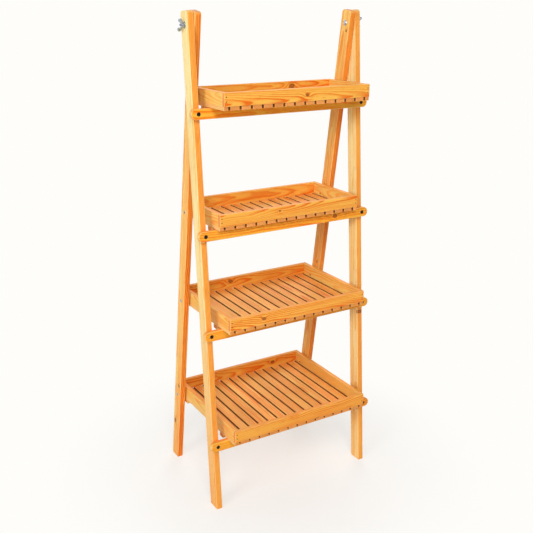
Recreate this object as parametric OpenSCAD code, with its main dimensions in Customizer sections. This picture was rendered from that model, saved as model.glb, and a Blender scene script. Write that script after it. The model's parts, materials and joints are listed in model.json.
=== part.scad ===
// Folding ladder shelf in pine. Two leaning frames are bolted together near
// their tops. The front frame has four rails, and the back frame's two legs are
// joined by four slatted trays that turn on screws. Standing open, each tray
// lies on its rail. To fold the shelf the trays tip up at the front, behind
// their rails, and the frames close on each other like a step ladder.
//
// Millimetres. X runs across the shelf, Y from front to back and Z up. The
// origin is on the floor, in the middle of the open shelf. Trays and rails are
// numbered from the top.

/* [Frame] */
// Height of the leg tops above the floor
overall_h = 1400; // [1300:10:1600]
// Leg thickness, across the shelf
leg_t = 18; // [15:0.5:24]
// Leg width, seen from the side
leg_w = 40; // [34:1:48]
// Radius of the two rounded corners on each leg top
leg_round = 9; // [4:0.5:14]
// Lean of the front legs from upright, in degrees
front_lean = 4.2; // [3.4:0.1:5]
// Lean of the back legs from upright, in degrees
back_lean = 9.1; // [8.4:0.1:10]
// Distance along a leg from its top down to the hinge bolt
hinge_drop = 35; // [28:1:60]

/* [Rails] */
// Height of a rail
rail_h = 28; // [24:1:36]
// Thickness of a rail
rail_t = 15; // [12:0.5:20]
// Length of rail that stands past the outer face of each front leg
rail_over = 11.5; // [4:0.5:30]

/* [Trays] */
// Width of every tray
tray_w = 453; // [380:1:700]
// Height of the underside of tray 1, the top tray
tray_1_z = 1160; // [1080:5:1180]
// Height of the underside of tray 2
tray_2_z = 839; // [780:1:900]
// Height of the underside of tray 3
tray_3_z = 557; // [500:1:620]
// Height of the underside of tray 4, the bottom tray
tray_4_z = 222; // [180:1:260]
// Depth of tray 1, from front to back
tray_1_depth = 190; // [170:5:240]
// Depth of tray 2
tray_2_depth = 222; // [210:1:260]
// Depth of tray 3
tray_3_depth = 319; // [290:1:360]
// Depth of tray 4
tray_4_depth = 382; // [360:1:430]
// Length of tray 1 behind its pivot screws
tray_1_tail = 30; // [30:0.5:60]
// Length of tray 2 behind its pivot screws
tray_2_tail = 47; // [30:0.5:60]
// Length of tray 3 behind its pivot screws
tray_3_tail = 50; // [30:0.5:60]
// Length of tray 4 behind its pivot screws
tray_4_tail = 39.5; // [30:0.5:60]
// Height of the pivot screws above the tray's underside
tray_pivot_h = 17; // [16:0.5:26]
// Height of the boards round a tray
board_h = 35; // [25:1:60]
// Thickness of the boards round a tray
board_t = 12; // [10:0.5:18]

/* [Slats and cleats] */
// Thickness of a slat
slat_t = 10; // [6:0.5:12]
// Width of a slat
slat_w = 26.5; // [20:0.5:45]
// Least gap between slats, which is widened until they fill the tray
slat_gap = 6; // [4:0.5:12]
// Distance that the slat ends stop short of the tray's front and back faces
slat_inset = 2.5; // [1:0.5:8]
// Height of the cleats under the trays
cleat_h = 12; // [8:0.5:16]
// Width of a cleat, from front to back
cleat_w = 20; // [14:1:24]
// Space between a rail and the cleat behind it
cleat_gap = 18; // [14:1:30]
// Distance from the back of tray 4 to its rear cleat
rear_cleat_in = 44; // [30:1:80]

/* [Hinge bolts and wing nuts] */
// Diameter of a hinge bolt
bolt_d = 6; // [5:0.5:8]
// Length of a hinge bolt under its head
bolt_l = 50; // [48:1:60]
// Diameter of the domed bolt head
bolt_head_d = 16; // [13:0.5:20]
// Height of the domed bolt head
bolt_head_h = 3.5; // [2.5:0.1:5]
// Width across the flats of the square neck under the bolt head
neck_w = 6.5; // [6:0.1:8]
// Length of the square neck
neck_l = 4; // [3:0.5:6]
// Outside diameter of the hinge washers
washer_d = 18; // [14:0.5:24]
// Thickness of a hinge washer
washer_t = 1; // [0.8:0.1:2]
// Diameter of a wing nut's hub where it bears on its washer
hub_base_d = 13; // [11:0.5:16]
// Diameter of the hub at its outer end
hub_top_d = 10.5; // [9.5:0.5:13]
// Height of the hub
hub_h = 8; // [6:0.5:10]
// Distance across the two wings
wing_span = 33; // [28:1:40]
// Height of the wing tips above the washer
wing_h = 16; // [13:0.5:20]
// Thickness of a wing
wing_t = 3; // [2:0.25:4]
// Radius of the rounded end of a wing
wing_r = 5; // [3.5:0.25:6]
// Turn of the wings from upright, in degrees
wing_turn = 18; // [0:1:90]

/* [Screws and nails] */
// Diameter of a rail screw's head
rail_head_d = 11; // [9:0.5:14]
// Depth of a rail screw's head
rail_head_h = 4; // [3:0.5:6]
// Diameter of a rail screw's shank
rail_shank_d = 5; // [4:0.5:7]
// Length of a rail screw
rail_screw_l = 45; // [38:1:50]
// Diameter of a tray pivot screw's head
pivot_head_d = 10; // [8:0.5:13]
// Depth of a tray pivot screw's head
pivot_head_h = 3; // [2:0.5:5]
// Diameter of a tray pivot screw's shank
pivot_d = 6; // [5:0.5:8]
// Width across the flats of the hexagonal sockets in the screw heads
socket_w = 4; // [3:0.5:5]
// Depth of those sockets
socket_l = 1.8; // [1:0.1:2]
// Outside diameter of the spacer rings between trays and back legs
spacer_d = 16; // [12:0.5:22]
// Thickness of a spacer ring
spacer_t = 4.5; // [1:0.5:6]
// Diameter of a nail head
nail_head_d = 3; // [2.5:0.1:4]
// Thickness of a nail head
nail_head_t = 1; // [0.6:0.1:1.5]
// Diameter of a nail's shank
nail_d = 1.8; // [1.2:0.1:2.2]
// Length of a nail
nail_l = 25; // [20:1:27]
// Distance from the top edge of a board down to its upper nail
nail_drop = 11; // [7:0.5:14]
// Distance between the two nails in a corner
nail_step = 11.5; // [8:0.5:12]

/* [Clearances] */
// Space between two flat faces that move past each other
run_gap = 0.3; // [0.2:0.05:0.8]
// Space round a pin or bolt that turns in its hole
turn_gap = 0.05; // [0.03:0.01:0.1]
// Space round a screw, nail or bolt that stays still in its hole
fit_gap = 0.05; // [0.02:0.01:0.2]
// Space round a bolt inside a washer, and round a head that turns in its recess
loose_gap = 0.2; // [0.1:0.05:0.4]

/* [Hidden] */

$fn = 64;
// Length that a cutting shape stands past the face it cuts
cut = 1;
left = -1;
right = 1;
pine = [0.93, 0.74, 0.47];
slat_pine = [0.86, 0.62, 0.38];
zinc = [0.72, 0.72, 0.70];
black = [0.10, 0.10, 0.11];
dark_steel = [0.33, 0.28, 0.24];

tray_count = 4;
trays = [1:tray_count];
tray_z = [tray_1_z, tray_2_z, tray_3_z, tray_4_z];
tray_depth = [tray_1_depth, tray_2_depth, tray_3_depth, tray_4_depth];
tray_tail = [tray_1_tail, tray_2_tail, tray_3_tail, tray_4_tail];

// Layers across the shelf, from the trays outwards
back_leg_in = tray_w / 2 + spacer_t + run_gap;
back_leg_out = back_leg_in + leg_t;
front_leg_in = back_leg_out + washer_t + run_gap;
front_leg_out = front_leg_in + leg_t;
outer_washer_x = front_leg_out + run_gap;
wing_nut_x = outer_washer_x + washer_t + run_gap;
rail_l = 2 * (front_leg_out + rail_over);
rail_screw_x = (front_leg_in + front_leg_out) / 2;

// The hinge line lies below the highest point of the back legs' rounded tops
hinge_z = overall_h - leg_round - (hinge_drop - leg_round) * cos(back_lean)
    - (leg_w / 2 - leg_round) * sin(back_lean);

// Places along Y, first from the rear edge of the back feet
function back_line(z) = -leg_w / 2 / cos(back_lean) - z * tan(back_lean);
function tray_pivot_z(n) = tray_z[n - 1] + tray_pivot_h;
function tray_front(n) = back_line(tray_pivot_z(n)) + tray_tail[n - 1] - tray_depth[n - 1];

// and then from the middle of the open shelf
mid_y = -min([for (n = trays) tray_front(n)]) / 2;
function back_leg_y(z) = mid_y + back_line(z);
hinge_y = back_leg_y(hinge_z);
function front_leg_face_y(z) =
    hinge_y - (hinge_z - z) * tan(front_lean) - leg_w / 2 / cos(front_lean);

// Height of a rail's top in the front leg's own direction, from the hinge. Its
// front top edge is the highest, and it lies just under the tray.
function rail_top(n) =
    (tray_z[n - 1] - run_gap - hinge_z - (leg_w / 2 + rail_t) * sin(front_lean)) / cos(front_lean);

// Inside width of a tray, and the slats that fill it
tray_in_w = tray_w - 2 * board_t;
slat_count = floor((tray_in_w - slat_gap) / (slat_w + slat_gap));
slat_space = (tray_in_w - slat_count * slat_w) / (slat_count + 1);

// Radius of the sphere that a domed bolt head is cut from
dome_r = (pow(bolt_head_d / 2, 2) + pow(bolt_head_h, 2)) / (2 * bolt_head_h);

// Draws a piece made for the right side, or its mirror image on the left
module on_side(side) {
    if (side == right) children();
    else mirror([1, 0, 0]) children();
}

// Extrudes an outline, drawn as Y and Z, across the shelf from x
module across(x, width) {
    translate([x, 0, 0]) rotate([90, 0, 90]) linear_extrude(width) children();
}

// Round bar across the shelf from x0 to x1
module x_bar(x0, x1, d) {
    translate([x0, 0, 0]) rotate([0, 90, 0]) cylinder(h = x1 - x0, d = d);
}

// Round bar from front to back, from y0 to y1
module y_bar(y0, y1, d) {
    translate([0, y0, 0]) rotate([-90, 0, 0]) cylinder(h = y1 - y0, d = d);
}

module at_hinge() {
    translate([0, hinge_y, hinge_z]) children();
}

// Moves to the pivot screws of tray n
module at_tray_pivot(n) {
    translate([0, back_leg_y(tray_pivot_z(n)), tray_pivot_z(n)]) children();
}

// Moves to the lower front edge of tray n
module at_tray(n) {
    translate([0, mid_y + tray_front(n), tray_z[n - 1]]) children();
}

// Turns to the lean of the front legs, with the hinge line at the origin
module in_front_leg() {
    at_hinge() rotate([-front_lean, 0, 0]) children();
}

// Moves to a rail screw's place on the front face of rail n
module at_rail_screw(n) {
    in_front_leg() translate([rail_screw_x, -leg_w / 2 - rail_t, rail_top(n) - rail_h / 2])
        children();
}

// Outline of a leg hanging from the hinge, longer than it is down to the floor
module leg_bar() {
    full_l = hinge_z / cos(back_lean) + leg_w;
    flat_w = leg_w - 2 * leg_round;
    translate([-leg_w / 2, -full_l]) square([leg_w, full_l + hinge_drop - leg_round]);
    translate([-flat_w / 2, 0]) square([flat_w, hinge_drop]);
    for (end = [-1, 1])
        translate([end * flat_w / 2, hinge_drop - leg_round]) circle(leg_round);
}

// Outline of a leaning leg, cut level at the floor
module leg_outline(lean) {
    intersection() {
        translate([hinge_y, hinge_z]) rotate(lean) leg_bar();
        translate([-overall_h, 0]) square(2 * overall_h);
    }
}

module front_leg(side) {
    color(pine) on_side(side) difference() {
        across(front_leg_in, leg_t) leg_outline(-front_lean);
        at_hinge() x_bar(front_leg_in - cut, front_leg_out + cut, bolt_d + 2 * turn_gap);
        for (n = trays) at_rail_screw(n) rail_screw_hole();
    }
}

module back_leg(side) {
    color(pine) on_side(side) difference() {
        across(back_leg_in, leg_t) leg_outline(back_lean);
        at_hinge() {
            x_bar(back_leg_in - cut, back_leg_out + cut, bolt_d + 2 * fit_gap);
            bolt_neck(back_leg_in - cut, back_leg_in + neck_l + fit_gap, fit_gap);
        }
        for (n = trays) at_tray_pivot(n) {
            x_bar(back_leg_in - cut, back_leg_out + cut, pivot_d + 2 * turn_gap);
            x_bar(back_leg_out - pivot_head_h - run_gap, back_leg_out + cut,
                pivot_head_d + 2 * loose_gap);
        }
    }
}

// Rail with round ends on the front faces of both front legs
module front_rail(n) {
    color(pine) difference() {
        in_front_leg() translate([0, -leg_w / 2, rail_top(n) - rail_h / 2])
            rotate([90, 0, 0]) linear_extrude(rail_t) {
                square([rail_l - rail_h, rail_h], center = true);
                for (end = [-1, 1]) translate([end * (rail_l - rail_h) / 2, 0]) circle(d = rail_h);
            }
        for (side = [left, right]) on_side(side) at_rail_screw(n) rail_screw_hole();
    }
}

module rail_screw_hole() {
    y_bar(-cut, rail_screw_l + fit_gap, rail_shank_d + 2 * fit_gap);
    y_bar(-cut, rail_head_h + fit_gap, rail_head_d + 2 * fit_gap);
}

module rail_screws(n) {
    color(black) for (side = [left, right]) on_side(side) at_rail_screw(n) difference() {
        union() {
            y_bar(0, rail_screw_l, rail_shank_d);
            y_bar(0, rail_head_h, rail_head_d);
        }
        rotate([-90, 0, 0]) socket();
    }
}

// Hexagonal socket cut downwards from a screw head's face at the origin
module socket() {
    translate([0, 0, -cut]) cylinder(h = socket_l + cut, d = socket_w / cos(30), $fn = 6);
}

// Square neck of a hinge bolt from x0 to x1, or the hole for it
module bolt_neck(x0, x1, gap) {
    width = neck_w + 2 * gap;
    translate([x0, -width / 2, -width / 2]) cube([x1 - x0, width, width]);
}

// Round-headed bolt, fixed in the back leg, that the front leg turns on
module top_bolt(side) {
    color(zinc) on_side(side) at_hinge() {
        x_bar(back_leg_in, back_leg_in + bolt_l, bolt_d);
        bolt_neck(back_leg_in, back_leg_in + neck_l, 0);
        intersection() {
            translate([back_leg_in - bolt_head_h + dome_r, 0, 0]) sphere(dome_r);
            x_bar(back_leg_in - bolt_head_h, back_leg_in, bolt_head_d);
        }
    }
}

// Flat ring with its inner face at x
module washer(x, thickness, outer_d, inner_d) {
    difference() {
        x_bar(x, x + thickness, outer_d);
        x_bar(x - cut, x + thickness + cut, inner_d + 2 * loose_gap);
    }
}

// One washer between the legs and one under the wing nut
module top_washers(side) {
    color(zinc) on_side(side) at_hinge()
        for (x = [back_leg_out, outer_washer_x]) washer(x, washer_t, washer_d, bolt_d);
}

module wing_nut(side) {
    color(zinc) on_side(side) at_hinge() translate([wing_nut_x, 0, 0]) rotate([wing_turn, 0, 0])
        difference() {
            union() {
                rotate([0, 90, 0]) cylinder(h = hub_h, d1 = hub_base_d, d2 = hub_top_d);
                wing();
                rotate([180, 0, 0]) wing();
            }
            x_bar(-cut, hub_h + cut, bolt_d + 2 * turn_gap);
        }
}

// One wing: a flat ear that rises outwards from the hub to a round end
module wing() {
    ear_x = wing_h - wing_r;
    ear_z = wing_span / 2 - wing_r;
    root_x = washer_t;
    root_z = bolt_d / 2 + cut;
    translate([0, wing_t / 2, 0]) rotate([90, 0, 0]) linear_extrude(wing_t) {
        translate([ear_x, ear_z]) circle(wing_r);
        polygon([
            [root_x, root_z],
            [root_x, hub_base_d / 2],
            [ear_x - wing_r * cos(35), ear_z + wing_r * sin(35)],
            [ear_x + wing_r * cos(35), ear_z - wing_r * sin(35)],
            [hub_h, root_z]
        ]);
    }
}

// Front and back boards run the whole width of the tray
module tray_face_board(n, y) {
    color(pine) difference() {
        at_tray(n) translate([-tray_w / 2, y, slat_t]) cube([tray_w, board_t, board_h]);
        tray_nail_holes(n);
    }
}

module tray_front_board(n) {
    tray_face_board(n, 0);
}

module tray_back_board(n) {
    tray_face_board(n, tray_depth[n - 1] - board_t);
}

// End boards fit between the front and back boards
module tray_end(n, side) {
    color(pine) difference() {
        on_side(side) at_tray(n) translate([tray_in_w / 2, board_t, slat_t])
            cube([board_t, tray_depth[n - 1] - 2 * board_t, board_h]);
        at_tray_pivot(n) on_side(side)
            x_bar(tray_in_w / 2 - cut, tray_w / 2 + cut, pivot_d + 2 * fit_gap);
        tray_nail_holes(n);
    }
}

// Slats under the boards, and a strip of slat under each end board
module tray_slats(n) {
    slat_l = tray_depth[n - 1] - 2 * slat_inset;
    color(slat_pine) at_tray(n) translate([0, slat_inset, 0]) {
        for (i = [0:slat_count - 1])
            translate([-tray_in_w / 2 + slat_space + i * (slat_w + slat_space), 0, 0])
                cube([slat_w, slat_l, slat_t]);
        for (side = [left, right]) on_side(side)
            translate([tray_in_w / 2, 0, 0]) cube([board_t, slat_l, slat_t]);
    }
}

// Cleat across the slats with its front face at y, measured from the tray's front
module cleat(n, y) {
    color(slat_pine) at_tray(n) translate([-tray_w / 2, y, -cleat_h])
        cube([tray_w, cleat_w, cleat_h]);
}

// The cleat behind the rail keeps the tray from sliding off it
module tray_cleat(n) {
    cleat(n, front_leg_face_y(tray_z[n - 1]) + cleat_gap - mid_y - tray_front(n));
}

module tray_4_rear_cleat() {
    cleat(4, tray_4_depth - rear_cleat_in - cleat_w);
}

// Moves to the outer face of the front and back boards at each of the eight nails
module at_tray_nails(n) {
    at_tray(n) for (side = [left, right], row = [0, 1]) {
        x = side * (tray_w - board_t) / 2;
        z = slat_t + board_h - nail_drop - row * nail_step;
        translate([x, 0, z]) children();
        translate([x, tray_depth[n - 1], z]) rotate([0, 0, 180]) children();
    }
}

module tray_nail_holes(n) {
    at_tray_nails(n) {
        y_bar(-cut, nail_l + fit_gap, nail_d + 2 * fit_gap);
        y_bar(-cut, nail_head_t + fit_gap, nail_head_d + 2 * fit_gap);
    }
}

module tray_nails(n) {
    color(dark_steel) at_tray_nails(n) {
        y_bar(0, nail_l, nail_d);
        y_bar(0, nail_head_t, nail_head_d);
    }
}

// Screws that turn in the back legs, with their heads flush, and end in the boards
module tray_pivot_screws(n) {
    color(zinc) for (side = [left, right]) on_side(side) at_tray_pivot(n) difference() {
        union() {
            x_bar(tray_in_w / 2, back_leg_out, pivot_d);
            x_bar(back_leg_out - pivot_head_h, back_leg_out, pivot_head_d);
        }
        translate([back_leg_out, 0, 0]) rotate([0, -90, 0]) socket();
    }
}

module tray_spacers(n) {
    color(zinc) for (side = [left, right]) on_side(side) at_tray_pivot(n)
        washer(tray_w / 2, spacer_t, spacer_d, pivot_d);
}

front_leg(left);  // front_leg_left
front_leg(right);  // front_leg_right
back_leg(left);  // back_leg_left
back_leg(right);  // back_leg_right
top_bolt(left);  // top_bolt_left
top_bolt(right);  // top_bolt_right
top_washers(left);  // top_washers_left
top_washers(right);  // top_washers_right
wing_nut(left);  // wing_nut_left
wing_nut(right);  // wing_nut_right
for (n = trays) {
    front_rail(n);
    rail_screws(n);
    tray_front_board(n);
    tray_back_board(n);
    tray_end(n, left);
    tray_end(n, right);
    tray_slats(n);
    tray_cleat(n);
    tray_nails(n);
    tray_pivot_screws(n);
    tray_spacers(n);
}
tray_4_rear_cleat();
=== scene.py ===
"""Folding ladder shelf in pine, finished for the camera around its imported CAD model.

Each piece of wood is the CAD solid's own shape with eased edges. It carries its grain
with it: every point knows where it lies along, across and through the piece, and where
the heart of the log was that the piece was sawn from.
"""

import json
import math
import random

import bmesh
import bpy
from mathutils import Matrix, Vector


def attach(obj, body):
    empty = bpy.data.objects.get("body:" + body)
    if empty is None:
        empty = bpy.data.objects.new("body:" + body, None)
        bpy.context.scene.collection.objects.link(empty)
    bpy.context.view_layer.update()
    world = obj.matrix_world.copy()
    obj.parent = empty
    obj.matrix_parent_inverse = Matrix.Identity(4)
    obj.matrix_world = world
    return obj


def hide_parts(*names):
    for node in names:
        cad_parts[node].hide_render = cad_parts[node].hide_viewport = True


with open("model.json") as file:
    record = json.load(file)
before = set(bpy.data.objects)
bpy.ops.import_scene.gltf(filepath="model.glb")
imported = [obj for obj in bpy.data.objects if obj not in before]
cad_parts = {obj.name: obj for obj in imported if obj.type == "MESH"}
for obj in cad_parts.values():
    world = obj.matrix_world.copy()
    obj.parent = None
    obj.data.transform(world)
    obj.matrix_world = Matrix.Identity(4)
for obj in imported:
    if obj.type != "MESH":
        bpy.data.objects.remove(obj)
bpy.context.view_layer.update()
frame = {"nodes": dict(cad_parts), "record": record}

# Lengths are in metres, and MM makes one of a length written in millimetres
MM = 0.001
ACROSS = Vector((1, 0, 0))
BACK = Vector((0, 1, 0))
UP = Vector((0, 0, 1))
# How far the front legs lean back and the back legs lean forward
FRONT_LEAN = math.radians(4.2)
BACK_LEAN = math.radians(9.1)
ALONG_FRONT_LEG = Vector((0, math.sin(FRONT_LEAN), math.cos(FRONT_LEAN)))
ALONG_BACK_LEG = Vector((0, -math.sin(BACK_LEAN), math.cos(BACK_LEAN)))
TRAYS = (1, 2, 3, 4)
SIDES = ("left", "right")

# How wide the rounding is along the edges of the bars, the tray boards and the slats
BAR_EASE = 1.4 * MM
BOARD_EASE = 1.1 * MM
SLAT_EASE = 0.7 * MM
# Corners that turn by more than this are rounded
WOOD_CORNER = math.radians(25)
METAL_CORNER = math.radians(40)
# Corners that turn by more than this are crisp in the shading
CRISP_CORNER = math.radians(38)
# Points of the CAD mesh this close are one point, and faces that turn less than this are one face
SAME_POINT = 0.002 * MM
SAME_FACE = math.radians(0.6)
# Faces that turn inwards by more than this line a hole
HOLE_WALL = math.radians(1.15)
# Slivers shorter than this are closed up
SLIVER = 0.01 * MM

# The thread on the hinge bolts: its length from the tip, the length of a turn, and its depth
# as a share of the radius. Points this close to a cut lie on it.
THREAD_LENGTH = 6 * MM
THREAD_PITCH = 1 * MM
THREAD_DEPTH = 0.12
ON_THE_CUT = 0.001 * MM

# Side faces of slats nearer the middle than this look into a gap and get painted shade. Those of the
# outermost strips don't.
GAPS_WITHIN = 220 * MM
# A face is a side face where so much of its normal points across
SIDE_FACE = 0.9

body_of = {node: body for body, nodes in frame["record"]["behaviour"]["bodies"].items() for node in nodes}


def paint(red, green, blue):
    """A colour written 0 to 255, as the shader wants it."""
    def linear(level):
        share = level / 255
        return share / 12.92 if share <= 0.04045 else ((share + 0.055) / 1.055) ** 2.4
    return (linear(red), linear(green), linear(blue), 1)


BACKDROP = paint(254, 253, 250)


class Wire:
    """A value in a material's node sheet. Sums written on it become Math nodes."""

    def __init__(self, sheet, socket):
        self.sheet = sheet
        self.socket = socket

    def sum(self, operation, *values):
        return self.sheet.node("ShaderNodeMath", {"operation": operation}, values)

    def __add__(self, other):
        return self.sum("ADD", self, other)

    def __radd__(self, other):
        return self.sum("ADD", other, self)

    def __sub__(self, other):
        return self.sum("SUBTRACT", self, other)

    def __rsub__(self, other):
        return self.sum("SUBTRACT", other, self)

    def __mul__(self, other):
        return self.sum("MULTIPLY", self, other)

    def __rmul__(self, other):
        return self.sum("MULTIPLY", other, self)

    def __truediv__(self, other):
        return self.sum("DIVIDE", self, other)

    def __rtruediv__(self, other):
        return self.sum("DIVIDE", other, self)

    def __pow__(self, other):
        return self.sum("POWER", self, other)

    def root(self):
        return self.sum("SQRT", self)

    def fraction(self):
        return self.sum("FRACT", self)

    def size(self):
        return self.sum("ABSOLUTE", self)


class Sheet:
    """The node sheet of one material or of the world."""

    def __init__(self, owner):
        owner.use_nodes = True
        self.tree = owner.node_tree
        self.tree.nodes.clear()

    def node(self, kind, settings=None, values=(), output=0):
        """Adds a node: its settings first, then a value or a link for each socket."""
        made = self.tree.nodes.new(kind)
        for name, setting in (settings or {}).items():
            setattr(made, name, setting)
        pairs = values.items() if isinstance(values, dict) else enumerate(values)
        for place, value in pairs:
            if isinstance(value, Wire):
                self.tree.links.new(value.socket, made.inputs[place])
            else:
                made.inputs[place].default_value = value
        return Wire(self, made.outputs[output]) if made.outputs else None

    def parts(self, vector):
        """The three numbers of a vector."""
        first = self.node("ShaderNodeSeparateXYZ", {}, [vector])
        return [Wire(self, socket) for socket in first.socket.node.outputs]

    def attribute(self, name, output="Vector"):
        """What the mesh says under a name: a vector, or with output Fac a plain number."""
        return self.node("ShaderNodeAttribute", {"attribute_name": name}, output=output)

    def place(self):
        """Where a spot is on its own object, in metres."""
        return self.node("ShaderNodeTexCoord", output="Object")

    def stretch(self, vector, factors):
        return self.node("ShaderNodeVectorMath", {"operation": "MULTIPLY"}, [vector, factors])

    def noise(self, vector, waves, detail=2.0, roughness=0.5):
        """Smooth noise from 0 to 1, with so many waves to the metre each way."""
        return self.node("ShaderNodeTexNoise", {}, {
            "Vector": self.stretch(vector, waves), "Scale": 1.0, "Detail": detail, "Roughness": roughness})

    def ease(self, value, low, high):
        """0 below low, 1 above high and a smooth step between them."""
        return self.node("ShaderNodeMapRange", {"interpolation_type": "SMOOTHSTEP"}, {
            "Value": value, "From Min": low, "From Max": high})

    def blend(self, share, first, second, mode="MIX"):
        """Mixes two colours. Sockets 6 and 7 and output 2 are the Mix node's coloured ones."""
        return self.node("ShaderNodeMix", {"data_type": "RGBA", "blend_type": mode},
                         {0: share, 6: first, 7: second}, output=2)

    def bump(self, height, distance):
        """The normal of a surface that stands up to so far proud, at half strength."""
        return self.node("ShaderNodeBump", {}, {"Height": height, "Distance": distance, "Strength": 0.5})

    def seen(self):
        """1 for a ray of the camera's, straight or by way of metal or glass, and 0 for a ray of light."""
        straight, mirrored, refracted = [self.node("ShaderNodeLightPath", output=f"Is {kind} Ray")
                                         for kind in ("Camera", "Glossy", "Transmission")]
        return straight + mirrored + refracted

    def surface(self, shader):
        self.node("ShaderNodeOutputMaterial", {}, [shader])


def new_material(name):
    material = bpy.data.materials.new(name)
    return material, Sheet(material)


def bend_round_knots(s, grain, growth):
    """The growth bent round a piece's two knots, and how far each spot is a knot's core or its rim.

    The rings swell round a knot for so many of its radii along and across the grain.
    """
    width_to_length = 0.74
    radii_along = 4.2
    radii_across = 1.9
    swelling = 1.6
    core = 0
    rim = 0
    for layer in ("knot_a", "knot_b"):
        along, across, radius = s.parts(s.attribute(layer))
        distance = (((along * width_to_length) ** 2) + (across ** 2)).root() / radius
        push = 1 / (1 + (((along / radii_along) ** 2) + ((across / radii_across) ** 2)) / (radius ** 2))
        growth = growth + (push ** 2) * radius * swelling
        uneven = distance + (s.noise(grain, (170, 170, 170)) - 0.5) * 0.6
        core = core + (1 - s.ease(uneven, 0.66, 1.0))
        rim = rim + s.ease(uneven, 0.55, 0.85) * (1 - s.ease(uneven, 0.9, 1.5))
    return growth, core, rim


def pine(name, wide, narrow, end, ring, wander, taper, sawn=0.0, rough=0.5):
    """Planed pine: growth rings cut at a slant, fibres, knots, end grain, edges paler from wear and a painted
    highlight, and painted shade in the gaps and towards the floor.

    wide and narrow are the early and the late wood's colours on the wide and the narrow
    faces, end the colour of the end grain. ring is the width of a year's growth, wander
    how far the rings stray, taper how fast the log narrows, sawn how strongly the saw's
    marks show, and rough how dull the surface is.
    """
    early_wide, late_wide = [paint(*colour) for colour in wide]
    early_narrow, late_narrow = [paint(*colour) for colour in narrow]
    material, s = new_material(name)
    grain = s.attribute("grain")
    along, across, through = s.parts(grain)
    heart_across, heart_through, _ = s.parts(s.attribute("log"))
    tone, shade_near_floor, above_floor = s.parts(s.attribute("colouring"))
    eased, end_cut, edge_cut = s.parts(s.attribute("cut"))
    in_gap = s.attribute("in_gap", output="Fac")

    # The year that a spot grew in, from its distance to the log's heart
    stray = s.noise(grain, (4, 12, 12)) - 0.5
    ripple = s.noise(grain, (16, 90, 90), 3.0, 0.6) - 0.5
    ripple_width = 2.6 * MM
    from_heart = (((across + heart_across) ** 2) + ((through + heart_through) ** 2)).root()
    growth = from_heart + stray * (2 * wander) + ripple * ripple_width + along * taper
    growth, knot_core, knot_rim = bend_round_knots(s, grain, growth)
    year = (growth / ring).fraction()
    late_wood = s.ease(year, 0.3, 0.84) * (1 - s.ease(year, 0.9, 1.0))
    late_wood = late_wood * (s.ease(s.noise(grain, (2.6, 34, 34)), 0.32, 0.64) * 0.75 + 0.4)

    # The other marks in the wood
    fibres = s.noise(grain, (7, 420, 420), 3.0, 0.6)
    streaks = s.noise(grain, (2.6, 85, 85), 3.0, 0.6)
    patches = s.noise(grain, (3.5, 16, 16))
    flames = s.noise(grain, (14, 46, 46), 3.0, 0.6)
    flecks = s.noise(grain, (55, 520, 520))
    knot_rings = (s.noise(grain, (260, 260, 260)) - 0.5) * 0.5 + 0.8
    rubbed_and_highlit = s.noise(grain, (18, 90, 90))

    face = s.blend(late_wood, early_wide, late_wide)
    side = s.blend(late_wood, early_narrow, late_narrow)
    # Wide and narrow faces have their own colours; on the legs and slats part of that difference is painted
    # light and shade
    colour = s.blend(edge_cut, face, side)
    darker = s.blend(edge_cut, late_wide, late_narrow)
    colour = s.blend(s.ease(streaks, 0.45, 0.78) * 0.6, colour, darker)
    colour = s.blend(s.ease(flames, 0.56, 0.76) * 0.45, colour, darker)
    warm_patch = paint(246, 206, 160)
    colour = s.blend(s.ease(patches, 0.42, 0.78) * 0.25, colour, warm_patch, "MULTIPLY")
    late_end = paint(190, 112, 62)
    colour = s.blend(end_cut, colour, s.blend(late_wood * 0.7, paint(*end), late_end))
    resin = paint(140, 68, 24)
    colour = s.blend(s.ease(flecks, 0.62, 0.76) * 0.4, colour, resin)
    pore = paint(190, 96, 28)
    colour = s.blend((fibres - 0.5).size() * 0.22, colour, pore)
    heart_of_knot = paint(150, 72, 28)
    colour = s.blend(knot_core * knot_rings, colour, heart_of_knot)
    bark_of_knot = paint(120, 54, 20)
    colour = s.blend(knot_rim * 0.75, colour, bark_of_knot)
    # Eased edges are paler in patches: partly wear, partly a painted highlight along the edges
    bare_wood_and_highlight = paint(255, 212, 142)
    colour = s.blend(eased * s.ease(rubbed_and_highlit, 0.26, 0.6) * 0.5, colour, bare_wood_and_highlight)

    # A darker solid is also a warmer one. The wide faces get a redder, darker painted shade towards the
    # floor.
    level = s.node("ShaderNodeCombineColor", {}, [tone, tone ** 1.5, tone ** 2.2])
    colour = s.blend(1.0, colour, level, "MULTIPLY")
    shade_near_floor = shade_near_floor * (1 - s.ease(above_floor, -0.1, 0.9)) * (1 - edge_cut)
    painted_low_shade = paint(255, 203, 155)
    colour = s.blend(shade_near_floor, colour, painted_low_shade, "MULTIPLY")

    if sawn:
        teeth = s.noise(grain, (5, 900, 520), 2.0, 0.7)
        chatter = s.noise(grain, (260, 14, 14), 1.0)
        saw_marks = teeth * 0.7 + chatter * 0.3
        scored = paint(212, 122, 62)
        colour = s.blend(s.ease(saw_marks, 0.5, 0.72) * sawn * 0.5, colour, scored)
    else:
        saw_marks = fibres
    # Painted shade on the slats' side faces that look into a gap
    gap_shade = paint(120, 54, 18)
    colour = s.blend(in_gap * 0.9, colour, gap_shade)

    end_pores = s.noise(grain, (40, 1500, 1500), 1.0) * end_cut
    height = late_wood * 0.35 + fibres * 0.4 + saw_marks * (0.25 + sawn) + end_pores * 0.8 - knot_rim * 0.6
    gloss = rough - late_wood * 0.07 + (fibres - 0.5) * 0.16
    gloss = gloss + end_cut * 0.2 + edge_cut * 0.06 - eased * 0.05 + in_gap * 0.35
    wood = s.node("ShaderNodeBsdfPrincipled", {}, {
        "Base Color": colour, "Roughness": gloss, "Normal": s.bump(height, 0.22 * MM),
        "Specular IOR Level": 0.14})
    s.surface(wood)
    return material


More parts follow.
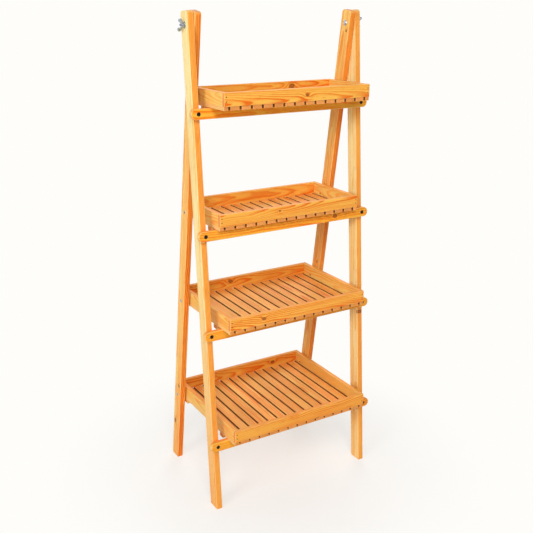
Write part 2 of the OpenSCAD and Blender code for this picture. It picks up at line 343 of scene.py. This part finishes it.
def metal(name, bright, dull, rough, metallic=1.0, spots=0.25):
    """Plated or blackened steel, with handling marks and a duller film here and there."""
    material, s = new_material(name)
    place = s.place()
    film = s.noise(place, (260, 260, 260), 4.0, 0.6)
    grit = s.noise(place, (2600, 2600, 2600))
    scuffs = s.noise(place, (340, 2400, 1100))
    grime = paint(84, 80, 76)
    shade = s.blend(s.ease(film, 0.38, 0.7), paint(*bright), paint(*dull))
    shade = s.blend(s.ease(grit, 0.58, 0.75) * spots, shade, grime)
    gloss = rough + (film - 0.5) * 0.3 + s.ease(scuffs, 0.55, 0.75) * 0.12
    height = film * 0.6 + grit * 0.3 + scuffs * 0.2
    steel = s.node("ShaderNodeBsdfPrincipled", {}, {
        "Base Color": shade, "Roughness": gloss, "Metallic": metallic,
        "Normal": s.bump(height, 0.05 * MM)})
    s.surface(steel)
    return material


# The boards of a tray are cut from the same planks, so their narrow faces and ends are alike
PLANK = {"narrow": ((249, 186, 90), (238, 138, 46)), "end": (232, 156, 84),
         "ring": 3.6 * MM, "wander": 8 * MM, "taper": 0.036}
BOARD_PINE = pine("board_pine", ((243, 184, 80), (228, 112, 25)), **PLANK)
# The end boards' wide faces are paler than the other boards': painted light
END_PINE = pine("end_board_pine", ((239, 202, 112), (237, 154, 58)), **PLANK)
# The front legs' wide faces, their sides, are paler than their fronts: painted light
FRONT_LEG_PINE = pine("front_leg_pine", ((241, 227, 168), (239, 192, 104)), ((243, 174, 78), (229, 122, 34)),
                      (234, 176, 114), ring=3.8 * MM, wander=6 * MM, taper=0.01)
# The back legs' narrow faces, their fronts, are darker than their sides: painted shade
BACK_LEG_PINE = pine("back_leg_pine", ((245, 204, 119), (241, 148, 54)), ((242, 154, 58), (218, 98, 20)),
                     (230, 160, 98), ring=3.8 * MM, wander=9 * MM, taper=0.016)
# The rails' pale end grain is painted light
RAIL_PINE = pine("rail_pine", ((240, 177, 58), (236, 124, 22)), ((246, 176, 82), (230, 128, 44)),
                 (245, 208, 140), ring=3.8 * MM, wander=6 * MM, taper=0.012)
# The slats' narrow faces are paler than their tops: painted light on the outer strips' sides
SLAT_PINE = pine("slat_pine", ((255, 200, 112), (244, 142, 56)), ((252, 216, 146), (238, 176, 102)),
                 (240, 164, 88), ring=3.4 * MM, wander=4 * MM, taper=0.006, sawn=0.7, rough=0.62)
ZINC = metal("bright_zinc", (200, 205, 213), (128, 133, 141), rough=0.2)
BLACK_OXIDE = metal("black_oxide", (24, 24, 26), (12, 12, 13), rough=0.36, metallic=0.6, spots=0.1)
NAIL_STEEL = metal("nail_steel", (46, 34, 26), (26, 19, 15), rough=0.6, metallic=0.6, spots=0.3)


def whole_faces(node):
    """The CAD node's shape with its flat faces whole again, as a bmesh."""
    shape = bmesh.new()
    shape.from_mesh(frame["nodes"][node].data)
    bmesh.ops.remove_doubles(shape, verts=shape.verts, dist=SAME_POINT)
    bmesh.ops.dissolve_limit(shape, angle_limit=SAME_FACE, verts=shape.verts, edges=shape.edges)
    shape.normal_update()
    return shape


def joins_two(edge):
    """Whether an edge lies between two faces."""
    return len(edge.link_faces) == 2


def corners(shape, sharpest):
    """Edges where two faces turn outwards by more than an angle."""
    return [edge for edge in shape.edges
            if joins_two(edge) and edge.is_convex and edge.calc_face_angle(0) > sharpest]


def corners_off_holes(shape, sharpest):
    """The same, but not round a hole."""
    in_holes = {face for edge in shape.edges
                if joins_two(edge) and not edge.is_convex and edge.calc_face_angle(0) > HOLE_WALL
                for face in edge.link_faces}
    return [edge for edge in corners(shape, sharpest)
            if not any(face in in_holes for face in edge.link_faces)]


def round_off(shape, edges, width, segments):
    """Rounds the edges by a width, and returns the faces that this adds."""
    made = bmesh.ops.bevel(shape, geom=edges, offset=width, offset_type="OFFSET", segments=segments,
                           profile=0.5, affect="EDGES", clamp_overlap=True)
    return set(made["faces"])


def solids(shape):
    """The separate solids of a shape, each as a list of its vertices."""
    left = set(shape.verts)
    found = []
    for start in shape.verts:
        if start not in left:
            continue
        left.discard(start)
        group = [start]
        waiting = [start]
        while waiting:
            point = waiting.pop()
            for edge in point.link_edges:
                other = edge.other_vert(point)
                if other in left:
                    left.discard(other)
                    group.append(other)
                    waiting.append(other)
        found.append(group)
    return found


def place_piece(node, shape, material):
    """Makes the shape a piece that stands for the node and moves with its body."""
    name = f"{node}_finished"
    mesh = bpy.data.meshes.new(name)
    shape.to_mesh(mesh)
    shape.free()
    mesh.materials.append(material)
    mesh.shade_smooth()
    mesh.set_sharp_from_angle(angle=CRISP_CORNER)
    piece = bpy.data.objects.new(name, mesh)
    bpy.context.scene.collection.objects.link(piece)
    soft_normals = piece.modifiers.new("flat faces stay flat", "WEIGHTED_NORMAL")
    soft_normals.keep_sharp = True
    soft_normals.weight = 80
    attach(piece, body_of[node])
    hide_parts(node)


# Knots that the wood shows: the piece, a point on its face and the knot's radius, all in millimetres.
# A piece has two at most.
KNOTS = [
    ("tray_1_front_board", (21, -168, 1187), 3.6),
    ("tray_1_back_board", (86, 10, 1192), 6),
    ("tray_4_front_board", (54, -200, 228), 6),
    ("back_leg_right", (231, 77, 620), 2.4),
    ("back_leg_right", (231, -44, 1342), 2.6),
    ("front_leg_right", (251, -72, 1265), 3),
    ("front_leg_right", (251, -120, 508), 3.5),
    ("back_leg_left", (-249, 128, 274), 4.5),
    ("back_leg_left", (-249, 167, 134), 6),
    ("front_rail_2", (161, -113, 826), 5),
    ("tray_2_front_board", (-40, -132, 872), 2.5),
    ("tray_3_back_board", (-60, 126, 590), 5),
    ("tray_4_back_board", (120, 170, 250), 5),
    ("tray_3_front_board", (-120, -181, 585), 4),
]
# What a knot's layer holds where there is none: one so far away that it doesn't show
NO_KNOT = (9, 9, 5 * MM)


def mark_grain(node, shape, along, across, tone_spread, shade_near_floor):
    """Tells every point of a wooden node where it lay in its log, its tone and the way to its knots.

    Each solid is cut from another stretch of the grain, and its log's heart lies at one side.
    """
    through = along.cross(across)
    layers = shape.verts.layers.float_vector
    grain, log, colouring, knot_a, knot_b = [layers.new(name) for name in (
        "grain", "log", "colouring", "knot_a", "knot_b")]
    knots = [(Vector(point) * MM, radius * MM) for piece, point, radius in KNOTS if piece == node]
    for group in solids(shape):
        rng = random.Random(f"{node} {len(group)} {min(point.co.x for point in group):.4f}")
        middle = sum((point.co for point in group), Vector()) / len(group)
        start = rng.uniform(-40, 40)
        heart_across = rng.choice((-1, 1)) * rng.uniform(2, 26) * MM
        heart_through = rng.choice((-1, 1)) * rng.uniform(18, 36) * MM
        tone = 1 - rng.uniform(0, tone_spread)
        for point in group:
            offset = point.co - middle
            point[grain] = (offset.dot(along) + start, offset.dot(across), offset.dot(through))
            point[log] = (heart_across, heart_through, 0)
            point[colouring] = (tone, shade_near_floor, point.co.z)
            point[knot_a] = NO_KNOT
            point[knot_b] = NO_KNOT
            for layer, (centre, radius) in zip((knot_a, knot_b), knots):
                away = point.co - centre
                point[layer] = (away.dot(along), away.dot(across), radius)


def mark_faces(shape, along, across, eased, gaps_within):
    """Tells every face whether it is eased, end grain or a narrow face, and whether it lies in a gap, where
    it gets painted shade.
    """
    cut = shape.loops.layers.float_vector.new("cut")
    gap = shape.loops.layers.float.new("in_gap")
    for face in shape.faces:
        is_eased = 1.0 if face in eased else 0.0
        is_end = abs(face.normal.dot(along)) ** 3
        is_edge = abs(face.normal.dot(across)) ** 3
        in_gap = is_edge > SIDE_FACE and abs(face.calc_center_median().x) < gaps_within
        for corner in face.loops:
            corner[cut] = (is_eased, is_end, is_edge)
            corner[gap] = 1.0 if in_gap else 0.0


def wooden(node, along, across, material, ease, tone_spread=0.1, shade_near_floor=0.0, gaps_within=0.0):
    """Finishes a wooden node: eases its edges and gives each of its solids its own cut.

    along and across point along the grain and to the narrow faces. ease is the rounding's
    width, tone_spread how much darker than the lightest a solid may be, shade_near_floor how
    strong the redder painted shade is at the floor, and gaps_within how far from the middle
    the narrow faces get painted shade.
    """
    shape = whole_faces(node)
    eased = round_off(shape, corners_off_holes(shape, WOOD_CORNER), ease, segments=3)
    shape.normal_update()
    mark_grain(node, shape, along, across, tone_spread, shade_near_floor)
    mark_faces(shape, along, across, eased, gaps_within)
    place_piece(node, shape, material)


def break_edges(shape, ease):
    """Takes the sharpness off the edges of turned or stamped metal."""
    round_off(shape, corners(shape, METAL_CORNER), ease, segments=2)
    bmesh.ops.dissolve_degenerate(shape, dist=SLIVER, edges=shape.edges)
    shape.normal_update()


def steel(node, material, slot, ease):
    """Finishes a metal node: its sharp edges are broken and its round sides are smooth."""
    shape = whole_faces(node)
    break_edges(shape, ease)
    place_piece(node, shape, material)


def threaded_bolt(node, material, ease):
    """Finishes a bolt that lies across, with a thread cut round its free end."""
    shape = whole_faces(node)
    break_edges(shape, ease)
    outward = math.copysign(1, sum(point.co.x for point in shape.verts))
    tip = max(point.co.x * outward for point in shape.verts)
    end = [point.co for point in shape.verts if point.co.x * outward > tip - ease]
    axis = sum(end, Vector()) / len(end)
    for half_turn in range(1, round(THREAD_LENGTH / THREAD_PITCH * 2)):
        place = outward * (tip - 2 * ease - half_turn * THREAD_PITCH / 2)
        made = bmesh.ops.bisect_plane(shape, geom=shape.verts[:] + shape.edges[:] + shape.faces[:],
                                      dist=ON_THE_CUT, plane_co=(place, 0, 0), plane_no=ACROSS)
        is_crest = half_turn % 2 == 0
        if is_crest:
            continue
        for point in made["geom_cut"]:
            if isinstance(point, bmesh.types.BMVert):
                point.co.y += (axis.y - point.co.y) * THREAD_DEPTH
                point.co.z += (axis.z - point.co.z) * THREAD_DEPTH
    shape.normal_update()
    place_piece(node, shape, material)


# The front legs get a redder painted shade towards the floor, the left one most
for side, shade_near_floor in (("left", 1.0), ("right", 0.5)):
    wooden(f"front_leg_{side}", ALONG_FRONT_LEG, ACROSS.cross(ALONG_FRONT_LEG), FRONT_LEG_PINE, BAR_EASE,
           tone_spread=0.03, shade_near_floor=shade_near_floor)
    wooden(f"back_leg_{side}", ALONG_BACK_LEG, ACROSS.cross(ALONG_BACK_LEG), BACK_LEG_PINE, BAR_EASE,
           tone_spread=0.03, shade_near_floor=0.15)
for n in TRAYS:
    wooden(f"front_rail_{n}", ACROSS, ALONG_FRONT_LEG, RAIL_PINE, BAR_EASE, tone_spread=0.03)
    for place in ("front", "back"):
        wooden(f"tray_{n}_{place}_board", ACROSS, UP, BOARD_PINE, BOARD_EASE, tone_spread=0.04, shade_near_floor=0.25)
    for side in SIDES:
        wooden(f"tray_{n}_end_{side}", BACK, UP, END_PINE, BOARD_EASE, tone_spread=0.03, shade_near_floor=0.2)
    wooden(f"tray_{n}_slats", BACK, ACROSS, SLAT_PINE, SLAT_EASE, tone_spread=0.15,
           gaps_within=GAPS_WITHIN)
    wooden(f"tray_{n}_cleat", ACROSS, BACK, SLAT_PINE, SLAT_EASE)
    steel(f"rail_screws_{n}", BLACK_OXIDE, "black_screws", ease=0.35 * MM)
    steel(f"tray_{n}_nails", NAIL_STEEL, "nails", ease=0.15 * MM)
    steel(f"tray_{n}_pivot_screws", ZINC, "zinc_hardware", ease=0.3 * MM)
    steel(f"tray_{n}_spacers", ZINC, "zinc_hardware", ease=0.2 * MM)
wooden("tray_4_rear_cleat", ACROSS, BACK, SLAT_PINE, SLAT_EASE)
for side in SIDES:
    threaded_bolt(f"top_bolt_{side}", ZINC, ease=0.3 * MM)
    steel(f"top_washers_{side}", ZINC, "zinc_hardware", ease=0.2 * MM)
    steel(f"wing_nut_{side}", ZINC, "zinc_hardware", ease=0.6 * MM)


def make_floor(reach, below):
    """A wide pale floor that keeps the shelf's shadow and turns to plain white far away.

    reach is how far it goes each way, and below how far it lies under the feet.
    """
    shape = bmesh.new()
    bmesh.ops.create_grid(shape, x_segments=1, y_segments=1, size=reach)
    mesh = bpy.data.meshes.new("floor")
    shape.to_mesh(mesh)
    shape.free()
    floor = bpy.data.objects.new("floor", mesh)
    floor.location.z = -below
    bpy.context.scene.collection.objects.link(floor)
    material, s = new_material("pale_floor")
    place = s.place()
    x, y, _ = s.parts(place)
    from_shelf = (x ** 2 + y ** 2).root()
    speckle = s.noise(place, (40, 40, 40), 3.0)
    tint = s.blend(speckle * 0.05, paint(246, 246, 244), paint(225, 223, 219))
    ground = s.node("ShaderNodeBsdfPrincipled", {}, {
        "Base Color": tint, "Roughness": 0.9, "Specular IOR Level": 0.0})
    far = s.node("ShaderNodeEmission", {}, [BACKDROP, 1.0])
    white_near_shelf = 0.57
    fade = (s.ease(from_shelf, 0.2, 0.75) * (1 - white_near_shelf) + white_near_shelf) * s.seen()
    s.surface(s.node("ShaderNodeMixShader", {}, [fade, ground, far]))
    mesh.materials.append(material)


def make_world(strength):
    """Soft light from all round, which the camera sees as plain white."""
    world = bpy.data.worlds.new("studio")
    bpy.context.scene.world = world
    s = Sheet(world)
    soft = s.node("ShaderNodeBackground", {}, [paint(255, 252, 247), strength])
    plain = s.node("ShaderNodeBackground", {}, [BACKDROP, 1.0])
    s.node("ShaderNodeOutputWorld", {}, [s.node("ShaderNodeMixShader", {}, [s.seen(), soft, plain])])


def lamp(name, place, target, size, power):
    """A square soft lamp at a place, turned to a target."""
    data = bpy.data.lights.new(name, "AREA")
    data.shape = "SQUARE"
    data.size = size
    data.energy = power
    light = bpy.data.objects.new(name, data)
    light.location = place
    light.rotation_euler = (Vector(target) - Vector(place)).to_track_quat("-Z", "Y").to_euler()
    bpy.context.scene.collection.objects.link(light)


def make_camera(place, tilt, turn, lens):
    """The photograph's camera. tilt is in degrees up from straight down, turn in degrees left of the back."""
    data = bpy.data.cameras.new("camera")
    data.sensor_width = 36
    data.lens = lens
    camera = bpy.data.objects.new("camera", data)
    camera.location = place
    camera.rotation_euler = (math.radians(tilt), 0, math.radians(turn))
    bpy.context.scene.collection.objects.link(camera)
    bpy.context.scene.camera = camera


make_floor(reach=30, below=0.3 * MM)
make_world(strength=0.3)
MIDDLE = (0, 0, 0.6)
lamp("window left", (-4.9, -2.0, 2.5), MIDDLE, size=2.2, power=122)
lamp("over the camera", (-2.1, -4.3, 4.3), MIDDLE, size=2.2, power=200)
lamp("far side", (2.8, 4.2, 4.0), MIDDLE, size=3.0, power=108)
make_camera(place=(-1.14097, -1.90802, 1.41198), tilt=71.426, turn=-30.773, lens=52.63)
bpy.context.scene.view_settings.view_transform = "Standard"
